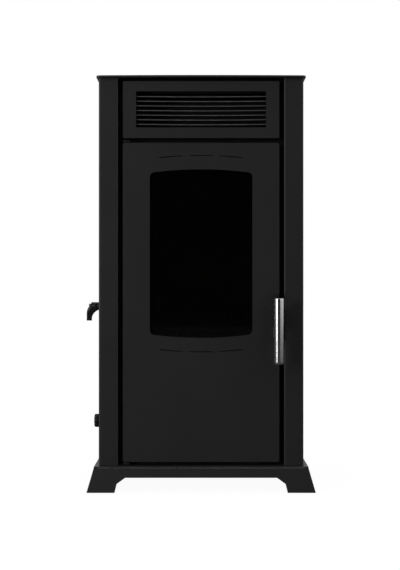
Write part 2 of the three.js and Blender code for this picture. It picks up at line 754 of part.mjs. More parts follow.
function ashParts(parent) {
  const half = shellHalf - ASH_SIDE_INSET;
  const top = shellBottom - CLEAR;
  const bottom = top - ASH_HEIGHT;
  const back = shellBack - ASH_REAR_INSET;
  const outer = box(-half, half, shellFront, back, bottom, top);
  const hollow = box(
    SHEET - half,
    half - SHEET,
    shellFront - OVERSHOOT,
    back - SHEET,
    bottom + SHEET,
    top + OVERSHOOT,
  );
  add(parent, "ash_chamber", cut(outer, hollow), innerBlack);

  const panFront = frameY + PAN_RECESS;
  const panBack = back - SHEET - PAN_REAR_GAP;
  const panHalf = half - SHEET - PAN_GAP;
  const runnerBottom = bottom + SHEET + CLEAR;
  const panBottom = runnerBottom + RUNNER + CLEAR;
  const runner = (x0) => {
    const front = shellFront + RUNNER_SETBACK;
    return box(x0, x0 + RUNNER_WIDTH, front, panBack, runnerBottom, runnerBottom + RUNNER);
  };
  add(parent, "drawer_runner_left", runner(-panHalf), plainSteel);
  add(parent, "drawer_runner_right", runner(panHalf - RUNNER_WIDTH), plainSteel);

  const pan = groupAt(parent, 0, panFront, panBottom);
  const length = panBack - panFront;
  const body = box(-panHalf, panHalf, 0, length, 0, PAN_HEIGHT);
  const inside = box(
    PAN_WALL - panHalf,
    panHalf - PAN_WALL,
    PAN_WALL,
    length - PAN_WALL,
    PAN_WALL,
    PAN_HEIGHT + OVERSHOOT,
  );
  add(pan, "ash_pan", cut(body, inside), plainSteel);
  const lip = 2;
  const pull = outline([
    [-CLEAR, 18],
    [-CLEAR, 42],
    [-CLEAR - lip, 42],
    [-CLEAR - lip, 32],
    [-PULL_REACH, 32],
    [-PULL_REACH, 22],
    [lip - PULL_REACH, 22],
    [lip - PULL_REACH, 30],
    [-CLEAR - lip, 30],
    [-CLEAR - lip, 18],
  ]);
  add(pan, "ash_pan_pull", fromSide(pull, -PULL_WIDTH / 2, PULL_WIDTH / 2), plainSteel);
}

// ---- Door ----

const hingeX = -doorHalf + HINGE_INSET;
const pivotX = doorHalf - PIVOT_EDGE;
const hookBottom = HANDLE_BOTTOM + HOOK_RISE;
const hookTop = hookBottom + HOOK_HEIGHT;

function door(parent) {
  const group = groupAt(parent, 0, frontY, 0); // y = 0 is the face of the door
  const face = tray(-doorHalf, doorHalf, doorBottom, doorTop, doorDepth, DOOR_CORNER);
  const windowCut = windowShape(windowHalf, windowBottom, windowTop, WINDOW_CORNER);
  const cuts = [fromFront(windowCut, -OVERSHOOT, SHEET + OVERSHOOT, 4)];
  for (const place of [-1, 0, 1]) {
    const u = place * DASH_PITCH;
    const upper = dashShape(u, windowTop + DASH_OFFSET, 1);
    const lower = dashShape(u, windowBottom - DASH_OFFSET, -1);
    cuts.push(fromFront(upper, -OVERSHOOT, SHEET + OVERSHOOT));
    cuts.push(fromFront(lower, -OVERSHOOT, SHEET + OVERSHOOT));
  }
  const pinHole = (z) =>
    rodZ(HINGE_PIN + PIN_HOLE_GAP, z - OVERSHOOT, z + OVERSHOOT, 16).translate(hingeX, HINGE_DEPTH, 0);
  cuts.push(pinHole(doorBottom + SHEET / 2), pinHole(doorTop - SHEET / 2));
  const notchX = pivotX - NOTCH_INSET;
  const notchBack = doorDepth + OVERSHOOT;
  const notch = box(notchX, doorHalf + OVERSHOOT, -OVERSHOOT, notchBack, hookBottom - 2, hookTop + 2);
  cuts.push(notch);
  add(group, "door_skin", cut(face, ...cuts), satinBlack);

  // Sealing tape and glass behind the window
  const tapeBack = SHEET + CLEAR + TAPE;
  const glassHalf = windowHalf + GLASS_LAP;
  const glassBottom = windowBottom - GLASS_LAP;
  const glassTop = windowTop + GLASS_LAP;
  const glassRect = roundedRect(-glassHalf, glassHalf, glassBottom, glassTop, GLASS_CORNER);
  const tapeInner = windowShape(
    glassHalf - TAPE_WIDTH,
    glassBottom + TAPE_WIDTH,
    glassTop - TAPE_WIDTH,
    WINDOW_CORNER,
  );
  const tape = cut(
    fromFront(glassRect, SHEET + CLEAR, tapeBack, 2),
    fromFront(tapeInner, SHEET - OVERSHOOT, tapeBack + OVERSHOOT, 3),
  );
  add(group, "glass_tape", tape, ropeSeal);
  const glassFront = tapeBack + CLEAR;
  const glassBack = glassFront + GLASS_THICK;
  add(group, "door_glass", fromFront(glassRect, glassFront, glassBack, 2), darkGlass);
  const clipFace = glassBack + CLEAR;
  for (const [word, z] of [
    ["lower", glassBottom],
    ["upper", glassTop],
  ]) {
    const z0 = z - CLIP_HEIGHT / 2;
    const clip = box(-glassHalf, glassHalf, clipFace, clipFace + CLIP_THICK, z0, z0 + CLIP_HEIGHT);
    add(group, "glass_retainer_" + word, clip, plainSteel);
  }

  // Inner frame: a shallow tray facing forwards that stiffens the skin and carries the rope seal
  const innerHalf = doorHalf - INNER_SIDE_INSET;
  const innerBottom = doorBottom + INNER_END_INSET;
  const innerTop = doorTop - INNER_END_INSET;
  const backFace = doorDepth - INNER_REAR_INSET;
  const outer = box(-innerHalf, innerHalf, SHEET + CLEAR, backFace, innerBottom, innerTop);
  const hollow = box(
    INNER_WALL - innerHalf,
    innerHalf - INNER_WALL,
    SHEET - OVERSHOOT,
    backFace - SHEET,
    innerBottom + INNER_WALL,
    innerTop - INNER_WALL,
  );
  const sight = box(
    -glassHalf - SIGHT_SIDE_GAP,
    glassHalf + SIGHT_SIDE_GAP,
    SHEET - OVERSHOOT,
    backFace + OVERSHOOT,
    glassBottom - SIGHT_END_GAP,
    glassTop + SIGHT_END_GAP,
  );
  add(group, "door_inner_frame", cut(outer, hollow, sight), innerBlack);
  const ring = (inset, corner) =>
    roundedRect(-innerHalf + inset, innerHalf - inset, innerBottom + inset, innerTop - inset, corner);
  const sealRing = ring(SEAL_INSET, 8);
  sealRing.holes.push(ring(SEAL_INSET + SEAL_WIDTH, 6));
  const sealBack = frameY - frontY - CLEAR;
  add(group, "door_rope_seal", fromFront(sealRing, backFace + CLEAR, sealBack, 3), ropeSeal);

  // Bushes in the two left corners take the hinge pins
  const bushX = -doorHalf + SHEET + CLEAR;
  const bushFront = SHEET + CLEAR;
  const bush = (z0) =>
    cut(
      box(bushX, bushX + BUSH_WIDTH, bushFront, bushFront + BUSH_DEPTH, z0, z0 + HINGE_GRIP),
      rodZ(HINGE_PIN + CLEAR, z0 - OVERSHOOT, z0 + HINGE_GRIP + OVERSHOOT, 16).translate(
        hingeX,
        HINGE_DEPTH,
        0,
      ),
    );
  const endGap = SHEET + DOOR_CORNER / 2; // clear of the rounded inside corner
  add(group, "hinge_bush_lower", bush(doorBottom + endGap), innerBlack);
  add(group, "hinge_bush_upper", bush(doorTop - endGap - HINGE_GRIP), innerBlack);
}

// Plates on the front frame that carry the hinge pins under and over the door.
function hinges(parent) {
  const group = groupAt(parent, hingeX, frontY + HINGE_DEPTH, 0);
  const back = frameY - CLEAR - frontY - HINGE_DEPTH;
  const plate = (z0) =>
    box(-HINGE_INSET, HINGE_DEPTH, HINGE_PLATE_SETBACK - HINGE_DEPTH, back, z0, z0 + HINGE_PLATE);
  const pinEnd = SHEET + HINGE_GRIP - 2;
  const lowPlate = doorBottom - HINGE_END_GAP - HINGE_PLATE;
  const lowPin = rodZ(HINGE_PIN, lowPlate + 1, doorBottom + pinEnd, 16);
  add(group, "hinge_plate_lower", join(plate(lowPlate), lowPin), innerBlack);
  const highPlate = doorTop + HINGE_END_GAP;
  const highPin = rodZ(HINGE_PIN, doorTop - pinEnd, highPlate + 1, 16);
  add(group, "hinge_plate_upper", join(plate(highPlate), highPin), innerBlack);
}

// ---- Handle and latch ----

function handle(parent) {
  const group = groupAt(parent, pivotX, frontY - PIVOT_STAND, 0); // origin on the pivot pin
  const barX = PIVOT_EDGE - HANDLE_EDGE;
  const barY = PIVOT_STAND - HANDLE_STAND;
  const chamfer = 1;
  const barTop = HANDLE_BOTTOM + HANDLE_LENGTH;
  const bar = lathe(
    [
      [0, HANDLE_BOTTOM],
      [HANDLE_RADIUS - chamfer, HANDLE_BOTTOM],
      [HANDLE_RADIUS, HANDLE_BOTTOM + chamfer],
      [HANDLE_RADIUS, barTop - chamfer],
      [HANDLE_RADIUS - chamfer, barTop],
      [0, barTop],
    ],
    32,
  ).rotateX(Math.PI / 2);
  const barMesh = add(group, "handle_bar", bar, polishedSteel);
  barMesh.position.set(barX, barY, 0);

  const bore = (z0, z1) => rodZ(PIVOT_RADIUS + CLEAR, z0 - OVERSHOOT, z1 + OVERSHOOT);
  const armBottom = hookTop + CLEAR;
  const armTop = armBottom + ARM_HEIGHT;
  const neckHalf = NECK_WIDTH / 2;
  const neckFront = barY + HANDLE_RADIUS - 3; // the neck wraps round the back of the bar
  const neck = box(-neckHalf, barX + neckHalf, neckFront, 0, armBottom, armTop);
  const barrel = rodZ(BARREL_RADIUS, armBottom, armTop);
  const barRoom = rodZ(HANDLE_RADIUS + CLEAR, armBottom - OVERSHOOT, armTop + OVERSHOOT, 32);
  barRoom.translate(barX, barY, 0);
  const arm = cut(join(barrel, neck), bore(armBottom, armTop), barRoom);
  add(group, "handle_arm", arm, blackPlastic);

  // The hook reaches back through the notch in the door, and its nose points to the keeper.
  const tip = PIVOT_STAND + doorDepth - INNER_REAR_INSET;
  const shankHalf = HOOK_SHANK / 2;
  const shank = outline([
    [-shankHalf, 0],
    [-shankHalf, tip - HOOK_WALL],
    [-HOOK_NOSE, tip - HOOK_WALL],
    [-HOOK_NOSE, tip],
    [shankHalf, tip],
    [shankHalf, 0],
  ]);
  const eye = rodZ(BARREL_RADIUS, hookBottom, hookTop);
  const hookBody = join(eye, fromAbove(shank, hookBottom, hookTop));
  add(group, "latch_hook", cut(hookBody, bore(hookBottom, hookTop)), plainSteel);

  const pinBottom = hookBottom - CLEAR - LUG_THICK - 3;
  const pinTop = barTop + 12;
  add(group, "handle_pivot_pin", rodZ(PIVOT_RADIUS, pinBottom, pinTop), innerBlack);
  const lugs = [
    ["lower", hookBottom - CLEAR - LUG_THICK],
    ["upper", barTop + 1],
  ];
  for (const [word, z0] of lugs) {
    const z1 = z0 + LUG_THICK;
    const stem = box(1 - LUG_RADIUS, LUG_RADIUS - 1, 0, PIVOT_STAND - CLEAR, z0, z1);
    const lug = cut(join(rodZ(LUG_RADIUS, z0, z1), stem), bore(z0, z1));
    add(group, "pivot_lug_" + word, lug, innerBlack);
  }

  // Keeper on the front frame, beside the nose of the hook
  const keeperX = -HOOK_NOSE - KEEPER_GAP;
  const plateX = keeperX - KEEPER_WIDTH + KEEPER_THICK;
  const back = frameY - CLEAR - frontY + PIVOT_STAND;
  const lipY = tip - HOOK_WALL - KEEPER_THICK - 2;
  const keeper = outline([
    [keeperX - KEEPER_WIDTH, lipY],
    [keeperX, lipY],
    [keeperX, lipY + KEEPER_THICK],
    [plateX, lipY + KEEPER_THICK],
    [plateX, back],
    [keeperX - KEEPER_WIDTH, back],
  ]);
  add(group, "latch_keeper", fromAbove(keeper, hookBottom - 4, hookTop + 4), plainSteel);
}

// ---- Air controls on the left side ----

// The lever seen from the front: a cap behind the hub that widens into a grip and hangs down.
function leverArmShape() {
  const inner = LEVER_REACH - LEVER_THICK;
  const cap = LEVER_HUB_REACH + 5;
  const outerBend = new THREE.QuadraticBezierCurve(
    new THREE.Vector2(-cap, -1),
    new THREE.Vector2(-LEVER_REACH, -8),
    new THREE.Vector2(-LEVER_REACH, -LEVER_DROP / 2),
  );
  const innerBend = new THREE.QuadraticBezierCurve(
    new THREE.Vector2(-inner, LEVER_HUB / 2 - LEVER_DROP),
    new THREE.Vector2(-inner, -18),
    new THREE.Vector2(-LEVER_HUB, -LEVER_HUB + 1),
  );
  const points = (curve) => curve.getPoints(6).map((point) => [point.x, point.y]);
  return outline([
    [-LEVER_HUB, LEVER_HUB - 4],
    [-cap, LEVER_HUB - 4],
    ...points(outerBend),
    [-LEVER_REACH, -LEVER_DROP],
    [-inner, -LEVER_DROP],
    ...points(innerBend),
  ]);
}

function upperLever(parent) {
  const group = groupAt(parent, -halfWidth, controlY, LEVER_HEIGHT);
  const chamfer = 1.5;
  const hub = lathe(
    [
      [0, -LEVER_HUB_REACH],
      [LEVER_HUB - chamfer, -LEVER_HUB_REACH],
      [LEVER_HUB, chamfer - LEVER_HUB_REACH],
      [LEVER_HUB, -CLEAR],
      [0, -CLEAR],
    ],
    24,
  ).rotateZ(-Math.PI / 2);
  const arm = fromFront(leverArmShape(), -LEVER_WIDTH / 2, LEVER_WIDTH / 2);
  const socket = rodX(SHAFT_RADIUS + CLEAR, -SOCKET_DEPTH - CLEAR, OVERSHOOT, 16);
  add(group, "air_lever", cut(join(hub, arm), socket), blackPlastic);

  // Duct between the casing and the firebox, with the flap across it
  const ductOuter = SHEET + DUCT_GAP;
  const ductInner = SIDE_CAVITY - CLEAR;
  const w = DUCT_WIDTH / 2;
  const h = DUCT_HEIGHT / 2;
  const bore = rodX(SHAFT_RADIUS + CLEAR, ductOuter - OVERSHOOT, ductInner + OVERSHOOT, 16);
  const duct = cut(
    box(ductOuter, ductInner, -w, w, -h, h),
    box(
      ductOuter + DUCT_WALL,
      ductInner - DUCT_WALL,
      DUCT_WALL - w,
      w - DUCT_WALL,
      -h - OVERSHOOT,
      h + OVERSHOOT,
    ),
    bore,
  );
  add(group, "air_duct", duct, innerBlack);
  const shaft = rodX(SHAFT_RADIUS, -SOCKET_DEPTH, ductInner - CLEAR, 16);
  add(group, "lever_shaft", shaft, plainSteel);
  const flapHalf = w - DUCT_WALL - FLAP_GAP;
  const flap = box(
    ductOuter + DUCT_WALL + FLAP_GAP,
    ductInner - DUCT_WALL - FLAP_GAP,
    -flapHalf,
    flapHalf,
    SHAFT_RADIUS + CLEAR,
    SHAFT_RADIUS + CLEAR + FLAP_THICK,
  );
  add(group, "air_flap", flap, plainSteel);
}

function knobShape() {
  const points = [];
  const around = KNOB_LOBES * 6;
  for (let i = 0; i < around; i++) {
    const angle = (2 * Math.PI * i) / around;
    const r = KNOB_RADIUS - 1.5 + 1.5 * Math.cos(KNOB_LOBES * angle);
    points.push([r * Math.cos(angle), r * Math.sin(angle)]);
  }
  return outline(points);
}

function lowerKnob(parent) {
  const group = groupAt(parent, -halfWidth, controlY, KNOB_HEIGHT);
  const lobes = fromSide(knobShape(), -KNOB_REACH, -NECK_LENGTH);
  const neck = rodX(NECK_RADIUS, -NECK_LENGTH - 1, -CLEAR, 24);
  const socket = rodX(SHAFT_RADIUS + CLEAR, -SOCKET_DEPTH - CLEAR, OVERSHOOT, 16);
  add(group, "air_knob", cut(join(lobes, neck), socket), blackPlastic);

  // A ported disc turns against a fixed plate with the same ports
  const plateX = SHEET + REGISTER_STAND;
  const ports = (x0, x1) => {
    const made = [];
    for (let i = 0; i < PORT_COUNT; i++) {
      const angle = (2 * Math.PI * i) / PORT_COUNT + Math.PI / 4;
      const port = rodX(PORT_RADIUS, x0 - OVERSHOOT, x1 + OVERSHOOT, 16);
      made.push(port.translate(0, PORT_RING * Math.cos(angle), PORT_RING * Math.sin(angle)));
    }
    return made;
  };
  const bore = rodX(SHAFT_RADIUS + CLEAR, 0, SIDE_CAVITY, 16);
  const discX = plateX + SHEET + CLEAR;
  const disc = cut(
    rodX(DISC_RADIUS, discX, discX + DISC_THICK, 32),
    bore,
    ...ports(discX, discX + DISC_THICK),
  );
  add(group, "air_disc", disc, plainSteel);
  const reach = DISC_RADIUS + REGISTER_RIM;
  const wallX = SHEET + CLEAR;
  const register = cut(
    box(wallX, plateX + SHEET, -reach, reach, -reach, reach),
    box(wallX - OVERSHOOT, plateX, SHEET - reach, reach - SHEET, SHEET - reach, reach - SHEET),
    bore,
    ...ports(plateX, plateX + SHEET),
    box(wallX - OVERSHOOT, plateX, -INTAKE / 2, INTAKE / 2, -reach - OVERSHOOT, 0),
  );
  add(group, "air_register", register, innerBlack);
  const spindle = rodX(SHAFT_RADIUS, -SOCKET_DEPTH, discX + DISC_THICK + SPINDLE_END, 16);
  add(group, "knob_spindle", spindle, plainSteel);
}

plinth(stove);
casing(stove);
frontFrame(stove);
outletPanel(stove);
firebox(stove);
flue(stove);
ashParts(stove);
door(stove);
hinges(stove);
handle(stove);
upperLever(stove);
lowerKnob(stove);

export default stove;
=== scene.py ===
"""Wood burning stove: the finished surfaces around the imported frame. Metres, +Z up, the door faces -Y."""

import json
import math

import bmesh
import bpy
from mathutils import Matrix, Vector


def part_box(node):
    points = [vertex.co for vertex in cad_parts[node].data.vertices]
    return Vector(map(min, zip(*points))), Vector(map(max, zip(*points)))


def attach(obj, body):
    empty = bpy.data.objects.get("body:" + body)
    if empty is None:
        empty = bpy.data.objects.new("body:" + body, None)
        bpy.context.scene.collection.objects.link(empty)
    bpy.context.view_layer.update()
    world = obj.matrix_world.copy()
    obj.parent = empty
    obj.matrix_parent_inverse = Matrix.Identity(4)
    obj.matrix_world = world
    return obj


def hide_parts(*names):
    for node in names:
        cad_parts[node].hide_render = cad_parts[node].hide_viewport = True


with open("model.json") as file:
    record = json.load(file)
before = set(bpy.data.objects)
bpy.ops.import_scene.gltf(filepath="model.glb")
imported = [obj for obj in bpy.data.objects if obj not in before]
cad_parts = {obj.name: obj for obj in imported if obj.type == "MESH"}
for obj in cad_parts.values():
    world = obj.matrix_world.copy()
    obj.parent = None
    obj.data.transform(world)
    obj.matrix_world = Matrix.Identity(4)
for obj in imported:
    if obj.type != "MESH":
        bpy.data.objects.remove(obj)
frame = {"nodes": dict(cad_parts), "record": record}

MM = 0.001
TO_THE_LEFT = Matrix.Rotation(-math.pi / 2, 4, "Y")  # turns +Z to face -X
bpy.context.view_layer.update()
NODES = frame["nodes"]
BODIES = frame["record"]["behaviour"]["bodies"]
SLOTS = {part["node"]: part["material_slot"] for part in frame["record"]["subparts"]}


def body_of_node(node):
    return next(name for name, nodes in BODIES.items() if node in nodes)


# ---------------------------------------------------------------- shader writing


class Value:
    """A socket in a node tree. Arithmetic on it adds Math nodes."""

    def __init__(self, paint, socket):
        self.paint = paint
        self.socket = socket

    def math(self, operation, other):
        return self.paint.node("ShaderNodeMath", {"operation": operation}, {0: self, 1: other})

    def __add__(self, other):
        return self.math("ADD", other)

    __radd__ = __add__

    def __mul__(self, other):
        return self.math("MULTIPLY", other)

    __rmul__ = __mul__

    def __sub__(self, other):
        return self.math("SUBTRACT", other)

    def __rsub__(self, other):
        return self.paint.node("ShaderNodeMath", {"operation": "SUBTRACT"}, {0: other, 1: self})

    def above(self, edge, softness):
        """0 below the edge, 1 once the value is softness over it."""
        return self.paint.node(
            "ShaderNodeMapRange",
            {"clamp": True},
            {"Value": self, "From Min": edge, "From Max": edge + softness, "To Min": 0.0, "To Max": 1.0},
        )


class Nodes:
    """Writes the nodes of one tree."""

    def __init__(self, tree):
        self.tree = tree

    def node(self, kind, settings, inputs, output=0):
        made = self.tree.nodes.new(kind)
        for key, value in settings.items():
            setattr(made, key, value)
        for key, value in inputs.items():
            socket = made.inputs[key]
            if isinstance(value, Value):
                self.tree.links.new(value.socket, socket)
            else:
                socket.default_value = value
        return Value(self, made.outputs[output])

    def mix(self, amount, first, second):
        """A colour between two colours."""
        return self.node("ShaderNodeMix", {"data_type": "RGBA"}, {0: amount, 6: first, 7: second}, 2)


class Paint(Nodes):
    """One material."""

    def __init__(self, name):
        self.material = bpy.data.materials.new(name)
        self.material.use_nodes = True
        super().__init__(self.material.node_tree)
        self.tree.nodes.clear()
        self.output = self.tree.nodes.new("ShaderNodeOutputMaterial")
        self.place = self.node("ShaderNodeTexCoord", {}, {}, "Object")

    def noise(self, size_mm, detail=3.0, roughness=0.5, stretch=(1, 1, 1)):
        """Cloudy noise from 0 to 1 whose blobs are about size_mm across."""
        where = self.node("ShaderNodeMapping", {}, {"Vector": self.place, "Scale": stretch})
        inputs = {"Vector": where, "Scale": 1000 / size_mm, "Detail": detail, "Roughness": roughness}
        return self.node("ShaderNodeTexNoise", {}, inputs, "Fac")

    def cells(self, size_mm, output="Distance"):
        return self.node("ShaderNodeTexVoronoi", {}, {"Vector": self.place, "Scale": 1000 / size_mm}, output)

    def edges(self):
        """1 on the rounded edges of a piece, 0 on its faces."""
        return self.node("ShaderNodeAttribute", {"attribute_name": "edge"}, {}, "Fac")

    def bump(self, relief, depth_mm, strength=1.0):
        inputs = {"Strength": strength, "Distance": depth_mm * MM, "Height": relief}
        return self.node("ShaderNodeBump", {}, inputs, "Normal")

    def finish(self, inputs):
        shader = self.node("ShaderNodeBsdfPrincipled", {}, inputs, "BSDF")
        self.tree.links.new(shader.socket, self.output.inputs["Surface"])
        return self.material


def grey(value, warm=0.0):
    return (value * (1 + warm), value, value * (1 - warm), 1)


# ---------------------------------------------------------------- finishes


def satin_paint(name, shade, gloss, wear_and_highlight_gain=5):
    """Baked stove paint: a fine sandy skin, faint dust, and lighter edges that are partly rubbed wear and
    partly a painted highlight.
    """
    paint = Paint(name)
    sand = paint.noise(0.9, detail=2.0)
    orange_peel = paint.noise(4.5, detail=1.0)
    cloud = paint.noise(160, detail=4.0, roughness=0.6)
    dust = paint.noise(38, detail=5.0, roughness=0.65).above(0.62, 0.2)
    # Edge mask broken up by noise: partly rubbed wear, partly a painted highlight on the rounded edges.
    wear_and_highlight_mask = paint.edges() * (0.55 + paint.noise(14, detail=4.0).above(0.5, 0.25) * 0.45)
    colour = paint.mix(cloud, grey(shade * 0.9), grey(shade * 1.12))
    colour = paint.mix(dust * 0.16, colour, grey(shade * 2.6, 0.04))
    # Edges lightened by the gain: partly wear, partly a painted highlight.
    colour = paint.mix(wear_and_highlight_mask * 0.6, colour, grey(shade * wear_and_highlight_gain, 0.03))
    roughness = gloss + (cloud - 0.5) * 0.1 + dust * 0.12 - wear_and_highlight_mask * 0.1
    relief = sand * 0.6 + orange_peel * 0.4
    return paint.finish(
        {
            "Base Color": colour,
            "Roughness": roughness,
            "Specular IOR Level": 0.42,
            "Normal": paint.bump(relief, 0.05, 0.5),
        }
    )


def matt_inner_paint():
    """Thin matt paint on the parts behind the door, greyed by fine ash in patches."""
    paint = Paint("matt_inner_paint")
    cloud = paint.noise(70, detail=5.0, roughness=0.6)
    ash = paint.noise(18, detail=6.0, roughness=0.7).above(0.56, 0.2)
    colour = paint.mix(cloud, grey(0.007), grey(0.012))
    colour = paint.mix(ash * 0.3, colour, grey(0.05, 0.05))
    colour = paint.mix(paint.edges() * 0.4, colour, grey(0.06, 0.1))
    relief = paint.noise(1.5, detail=3.0)
    return paint.finish(
        {
            "Base Color": colour,
            "Roughness": 0.72 + cloud * 0.15,
            "Specular IOR Level": 0.3,
            "Normal": paint.bump(relief, 0.08, 0.6),
        }
    )


def cast_iron():
    """Sand cast iron with a coarse skin, burnt brown in patches."""
    paint = Paint("cast_iron")
    grain = paint.cells(1.7)
    pits = paint.noise(3.2, detail=5.0, roughness=0.7)
    burnt = paint.noise(30, detail=4.0).above(0.5, 0.25)
    colour = paint.mix(burnt, grey(0.03), (0.05, 0.036, 0.028, 1))
    colour = paint.mix(paint.edges() * 0.5, colour, grey(0.12, 0.05))
    return paint.finish(
        {
            "Base Color": colour,
            "Roughness": 0.62 + pits * 0.3,
            "Metallic": 0.35,
            "Normal": paint.bump(grain * 0.5 + pits, 0.35, 0.8),
        }
    )


def polished_steel():
    """Bright turned steel with very fine lines round it and a few fingermarks."""
    paint = Paint("polished_steel")
    lines = paint.noise(0.5, detail=2.0, stretch=(0.04, 0.04, 1))
    marks = paint.noise(30, detail=3.0, roughness=0.6).above(0.55, 0.25)
    return paint.finish(
        {
            "Base Color": paint.mix(marks * 0.2, grey(0.6), grey(0.52, 0.02)),
            "Metallic": 1.0,
            "Roughness": 0.14 + marks * 0.05 + lines * 0.03,
            "Normal": paint.bump(lines, 0.004, 0.2),
        }
    )


def zinc_steel():
    """Zinc plated steel, dulled, with pale spangles and brown edges from the heat."""
    paint = Paint("zinc_steel")
    spangle = paint.cells(9, "Color")
    patch = paint.node("ShaderNodeSeparateColor", {}, {"Color": spangle}, "Red")
    stain = paint.noise(26, detail=5.0, roughness=0.65).above(0.55, 0.22)
    colour = paint.mix(patch, grey(0.2), grey(0.3))
    colour = paint.mix(stain * 0.5, colour, (0.16, 0.12, 0.085, 1))
    return paint.finish(
        {
            "Base Color": colour,
            "Metallic": 0.9,
            "Roughness": 0.34 + patch * 0.14 + stain * 0.2,
            "Normal": paint.bump(paint.noise(2.4, detail=3.0), 0.05, 0.4),
        }
    )


def fire_board():
    """Pressed mineral board: flaky, sandy, and blackened by soot in patches."""
    paint = Paint("fire_board")
    flakes = paint.cells(3.6, "Color")
    flake = paint.node("ShaderNodeSeparateColor", {}, {"Color": flakes}, "Red")
    grit = paint.noise(1.6, detail=4.0, roughness=0.7)
    soot = paint.noise(90, detail=5.0, roughness=0.6).above(0.36, 0.3)
    colour = paint.mix(flake, (0.2, 0.165, 0.12, 1), (0.33, 0.28, 0.21, 1))
    colour = paint.mix(soot * 0.85, colour, grey(0.03, 0.1))
    return paint.finish(
        {
            "Base Color": colour,
            "Roughness": 0.93,
            "Specular IOR Level": 0.2,
            "Normal": paint.bump(grit + flake * 0.5, 0.5, 0.8),
        }
    )


def ceramic_glass():
    """Dark tinted stove glass with a faint veil of soot."""
    paint = Paint("ceramic_glass")
    veil = paint.noise(120, detail=4.0, roughness=0.55)
    return paint.finish(
        {
            "Base Color": paint.mix(veil, grey(0.001), grey(0.003, 0.05)),
            "Roughness": 0.03 + veil * 0.05,
            "IOR": 1.45,
            "Alpha": 0.5 + veil * 0.1,
        }
    )


def rope_seal():
    """Braided glass fibre rope, charcoal grey."""
    paint = Paint("rope_seal")
    fibre = paint.noise(0.8, detail=3.0, stretch=(1, 1, 0.4))
    smudge = paint.noise(25, detail=3.0)
    colour = paint.mix(fibre, grey(0.035), grey(0.1, 0.03))
    colour = paint.mix(smudge * 0.4, colour, grey(0.03))
    return paint.finish(
        {
            "Base Color": colour,
            "Roughness": 0.95,
            "Sheen Weight": 0.2,
            "Normal": paint.bump(fibre, 0.25, 0.7),
        }
    )


def moulded_plastic():
    """Hard black plastic with a fine spark texture and a slight polish where it is held."""
    paint = Paint("moulded_plastic")
    spark = paint.cells(0.7)
    worn = paint.noise(12, detail=3.0).above(0.5, 0.3)
    colour = paint.mix(worn * 0.5, grey(0.011), grey(0.02))
    colour = paint.mix(paint.edges() * 0.25, colour, grey(0.045))
    return paint.finish(
        {
            "Base Color": colour,
            "Roughness": 0.42 - worn * 0.12,
            "Normal": paint.bump(spark, 0.05, 0.5),
        }
    )


FINISHES = {
    "satin_black_paint": satin_paint("satin_black_paint", 0.021, 0.46),
    # Copy of the black paint for the slats: the darker body is painted shade, and edges 42 times lighter are
    # a painted highlight.
    "outlet_slat_paint_shaded_highlit": satin_paint("outlet_slat_paint_shaded_highlit", 0.012, 0.4, wear_and_highlight_gain=42),
    # Darker copy of the body paint for the plinth: painted shade, since the real plinth wears the same
    # paint.
    "plinth_paint_shaded": satin_paint("plinth_paint_shaded", 0.008, 0.52),
    "inner_black_paint": matt_inner_paint(),
    "cast_iron": cast_iron(),
    "polished_steel": polished_steel(),
    "plain_steel": zinc_steel(),
    "fire_board": fire_board(),
    "ceramic_glass": ceramic_glass(),
    "rope_seal": rope_seal(),
    "black_plastic": moulded_plastic(),
}


# ---------------------------------------------------------------- mesh helpers


def show(obj, finish):
    obj.data.materials.clear()
    obj.data.materials.append(FINISHES[finish])


def new_piece(name, bm, finish, body, *replaced, smooth=None):
    """Turns a bmesh into a named piece that rides on a body and stands for its CAD nodes."""
    mesh = bpy.data.meshes.new(name)
    bmesh.ops.recalc_face_normals(bm, faces=bm.faces)
    bm.to_mesh(mesh)
    bm.free()
    obj = bpy.data.objects.new(name, mesh)
    bpy.context.scene.collection.objects.link(obj)
    show(obj, finish)
    if smooth is not None:
        mesh.shade_smooth()
        mesh.set_sharp_from_angle(angle=math.radians(smooth))
    if replaced:
        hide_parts(*replaced)
    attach(obj, body)
    return obj


def solid_of(node):
    """The CAD node's shape with its flat faces whole again."""
    bm = bmesh.new()
    bm.from_mesh(NODES[node].data)
    bmesh.ops.remove_doubles(bm, verts=bm.verts, dist=1e-6)
    flat = math.radians(0.6)
    bmesh.ops.dissolve_limit(bm, angle_limit=flat, verts=bm.verts, edges=bm.edges)
    bmesh.ops.connect_verts_concave(bm, faces=bm.faces)
    return bm


def rounded(node, edge_mm, wide=None, wide_mm=0, segments=2, wide_segments=4, sharp=28):
    """The CAD node with every sharp edge rounded, and those that wide picks rounded more."""
    bm = solid_of(node)
    name = node + "_finished"
    mesh = bpy.data.meshes.new(name)
    weight = bm.edges.layers.float.new("bevel_weight_edge")
    widest = max(edge_mm, wide_mm)
    for edge in bm.edges:
        if len(edge.link_faces) != 2 or edge.calc_face_angle(0) < math.radians(sharp):
            continue
        middle = (edge.verts[0].co + edge.verts[1].co) / 2
        picked = wide is not None and wide(middle, edge)
        edge[weight] = (wide_mm if picked else edge_mm) / widest
    bm.to_mesh(mesh)
    bm.free()
    obj = bpy.data.objects.new(name, mesh)
    bpy.context.scene.collection.objects.link(obj)
    bevel = obj.modifiers.new("rounding", "BEVEL")
    bevel.width = widest * MM
    bevel.segments = wide_segments if wide else segments
    bevel.limit_method = "WEIGHT"
    bevel.use_clamp_overlap = True
    bevel.miter_outer = "MITER_ARC"
    weighted = obj.modifiers.new("flat faces stay flat", "WEIGHTED_NORMAL")
    weighted.keep_sharp = True
    weighted.weight = 90
    mesh.shade_smooth()
    settle(obj)
    flat = keep_flat(obj.data)
    mark_edges(obj.data, 1.1 * widest * MM, flat)
    finish = SLOTS[node]
    show(obj, finish)
    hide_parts(node)
    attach(obj, body_of_node(node))
    return obj


